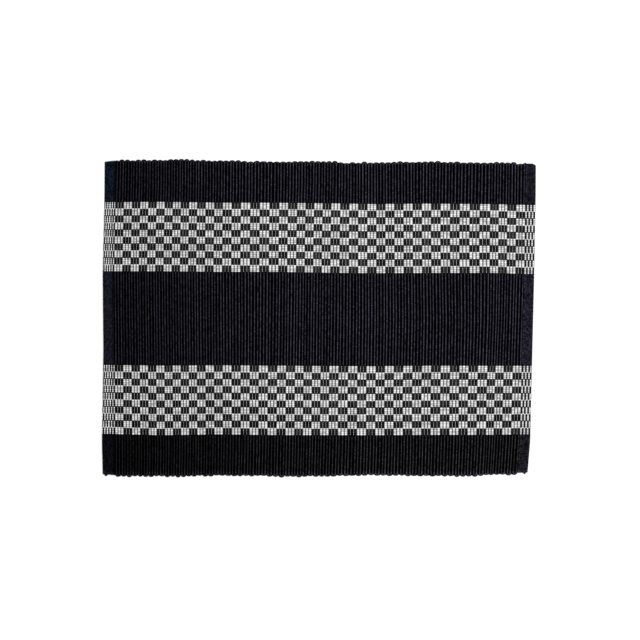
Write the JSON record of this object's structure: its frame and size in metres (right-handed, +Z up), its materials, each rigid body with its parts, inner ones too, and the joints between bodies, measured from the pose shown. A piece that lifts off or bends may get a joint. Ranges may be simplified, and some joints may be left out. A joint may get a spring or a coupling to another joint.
{
  "type": "fabric placemat",
  "caption": "Flat ribbed cotton placemat in rep weave, black with bands of black and white check, hemmed at its short ends, to lie under a table setting.",
  "frame": {"origin": "on the table, under the middle of the mat", "axes": "+X along the long side, towards the right hem in the picture; +Y along the ribs, towards the picture's top edge; +Z up, out of the face of the cloth"},
  "size_m": [0.4542, 0.3336, 0.0026],
  "materials": {
    "cotton": "matt ribbed cotton, black with two bands of black and white check"
  },
  "bodies": {
    "root": {"placemat": "cotton"}
  },
  "joints": []
}
